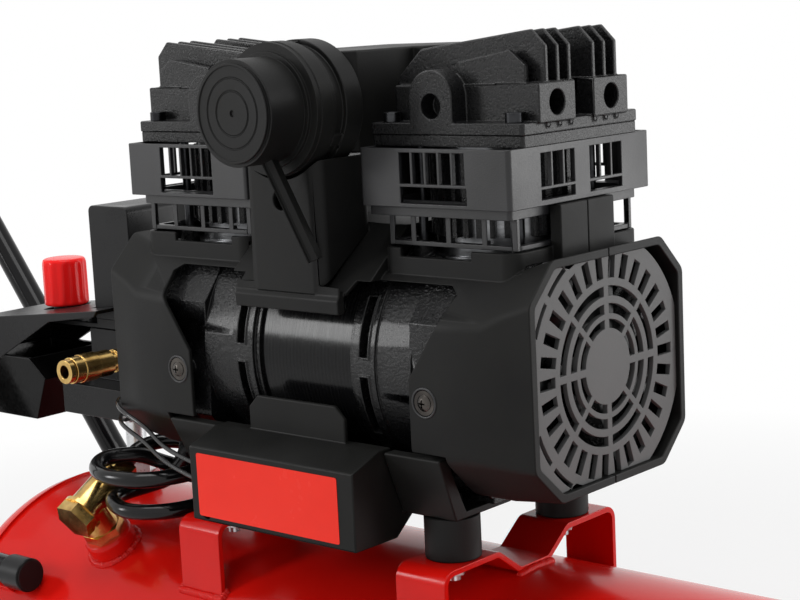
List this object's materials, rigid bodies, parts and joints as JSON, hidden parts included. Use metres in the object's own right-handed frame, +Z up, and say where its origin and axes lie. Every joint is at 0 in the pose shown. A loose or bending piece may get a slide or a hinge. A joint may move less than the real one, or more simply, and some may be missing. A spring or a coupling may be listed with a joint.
{
  "type": "air compressor",
  "caption": "Portable oil-free air compressor: horizontal receiver on wheels with a bent push handle, carrying a cowled twin-cylinder pump and its air controls.",
  "frame": {"origin": "on the floor under the middle of the whole machine", "axes": "+X along the receiver away from the handle, +Y to the rear, away from the label side, +Z up"},
  "size_m": [1.0754, 0.4068, 0.703],
  "materials": {
    "red_paint": "gloss red enamel",
    "brass": "turned brass",
    "black_rubber": "smooth black rubber",
    "tyre_rubber": "solid rubber tyre",
    "hub_plastic": "satin black plastic",
    "zinc_steel": "bright zinc plate",
    "black_tube": "black powder coat",
    "grip_rubber": "ribbed soft grip",
    "black_plastic": "moulded black plastic, fine grain",
    "grey_plastic": "moulded dark grey plastic",
    "black_casting": "die casting in black paint",
    "lamination_steel": "black varnished laminations",
    "bright_steel": "ground steel",
    "liner_aluminium": "anodised aluminium",
    "filter_foam": "open filter foam",
    "cable_plastic": "glossy black sleeve",
    "red_plastic": "moulded red plastic"
  },
  "bodies": {
    "compressor": {"tank_shell": "red_paint", "tank_head_left": "red_paint", "tank_head_right": "red_paint", "tank_sockets": "red_paint", "inspection_plug": "brass", "drain_valve": "brass", "wheel_bracket": "red_paint", "support_foot": "red_paint", "rubber_feet": "black_rubber", "wheel_axles": "zinc_steel", "handle_tube": "black_tube", "handle_grip": "grip_rubber", "handle_caps": "black_plastic", "handle_saddles": "red_paint", "handle_bolts": "zinc_steel", "pump_brackets": "red_paint", "rubber_mounts": "black_rubber", "mount_bolts": "zinc_steel", "motor_cradle": "black_plastic", "stator": "lamination_steel", "end_shield_left": "black_casting", "end_shield_right": "black_casting", "motor_bearings": "bright_steel", "cylinder_liners": "liner_aluminium", "wobble_pistons": "liner_aluminium", "air_guides": "black_plastic", "valve_plates": "liner_aluminium", "head_left": "black_casting", "head_right": "black_casting", "head_bolts": "zinc_steel", "intake_box": "black_plastic", "filter_base": "black_plastic", "filter_element": "filter_foam", "cowl_front": "black_plastic", "cowl_rear": "black_plastic", "grille_left": "black_plastic", "grille_right": "black_plastic", "cowl_screws": "bright_steel", "check_valve": "brass", "discharge_hose": "black_rubber", "signal_tubes": "cable_plastic", "riser": "zinc_steel", "manifold": "grey_plastic", "pressure_switch": "grey_plastic", "quick_coupler": "brass", "control_console": "grey_plastic"},
    "rotor": {"rotor_shaft": "bright_steel", "fans": "black_plastic"},
    "wheel_front": {"wheel_hub_front": "hub_plastic", "tyre_front": "tyre_rubber"},
    "wheel_rear": {"wheel_hub_rear": "hub_plastic", "tyre_rear": "tyre_rubber"},
    "filter_cap": {"filter_cap": "black_plastic"},
    "switch_knob": {"switch_knob": "red_plastic"},
    "regulator_knob": {"regulator_knob": "black_plastic"},
    "coupler_sleeve": {"coupler_sleeve": "brass"},
    "drain_knob": {"drain_knob": "black_plastic"}
  },
  "joints": [
    {"name": "rotor_spin", "type": "hinge", "parent": "compressor", "child": "rotor", "pos_m": [0.13771, 0, 0.495], "axis": [1, 0, 0], "continuous": true},
    {"name": "wheel_front_spin", "type": "hinge", "parent": "compressor", "child": "wheel_front", "pos_m": [0.43771, -0.175, 0.1], "axis": [0, 1, 0], "continuous": true},
    {"name": "wheel_rear_spin", "type": "hinge", "parent": "compressor", "child": "wheel_rear", "pos_m": [0.43771, 0.175, 0.1], "axis": [0, 1, 0], "continuous": true},
    {"name": "filter_cap_twist", "type": "hinge", "parent": "compressor", "child": "filter_cap", "pos_m": [0.13771, -0.105, 0.6598], "axis": [0, 1, 0], "range_deg": [0, 40]},
    {"name": "switch_pull", "type": "slide", "parent": "compressor", "child": "switch_knob", "axis": [0, 0, 1], "range_m": [0, 0.008]},
    {"name": "regulator_turn", "type": "hinge", "parent": "compressor", "child": "regulator_knob", "pos_m": [-0.28229, 0, 0.433], "axis": [1, 0, 0], "range_deg": [-270, 270]},
    {"name": "sleeve_slide", "type": "slide", "parent": "compressor", "child": "coupler_sleeve", "axis": [0, 1, 0], "range_m": [0, 0.005], "stiffness_N_per_m": 500, "springref_m": -0.004},
    {"name": "drain_turn", "type": "hinge", "parent": "compressor", "child": "drain_knob", "pos_m": [-0.06729, -0.018, 0.039], "axis": [0, 1, 0], "range_deg": [-180, 0]}
  ]
}
